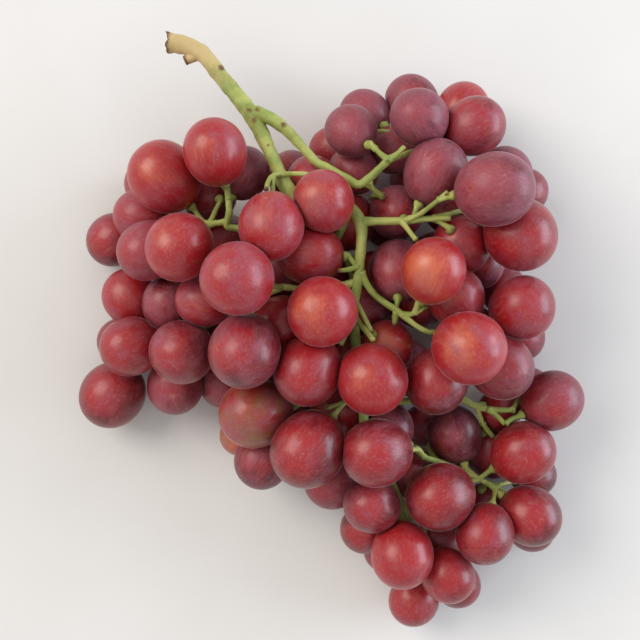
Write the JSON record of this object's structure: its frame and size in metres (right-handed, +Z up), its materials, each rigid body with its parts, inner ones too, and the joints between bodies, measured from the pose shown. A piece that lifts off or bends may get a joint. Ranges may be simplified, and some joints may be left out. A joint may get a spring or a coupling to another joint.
{
  "type": "bunch of grapes",
  "caption": "Picked bunch of red table grapes lying on its side, with its cut green-brown peduncle, shoulders, wing and loose lower laterals.",
  "frame": {"origin": "middle of the bunch's footprint, on the surface that it lies on", "axes": "+Y towards the cut end of the peduncle, +X to its right seen from above, +Z up from the surface"},
  "size_m": [0.1603, 0.1876, 0.0692],
  "materials": {
    "stem_green": "matt green bark, browner and drier at the cut end and the buds",
    "skin_red": "thin crimson skin with a satin bloom",
    "skin_wine": "darker wine-red skin with a satin bloom",
    "skin_plum": "purple-red skin under a heavier matt bloom"
  },
  "bodies": {
    "root": {"rachis": "stem_green", "berries_left_shoulder": "skin_red", "berries_left_side": "skin_wine", "berries_crown": "skin_red", "berries_middle": "skin_red", "berries_wing": "skin_plum", "berries_right_shoulder": "skin_wine", "berries_right_side": "skin_red", "berries_right_lower": "skin_wine", "berries_foot_right": "skin_wine", "berries_foot": "skin_red", "berries_left_lower": "skin_red"}
  },
  "joints": []
}
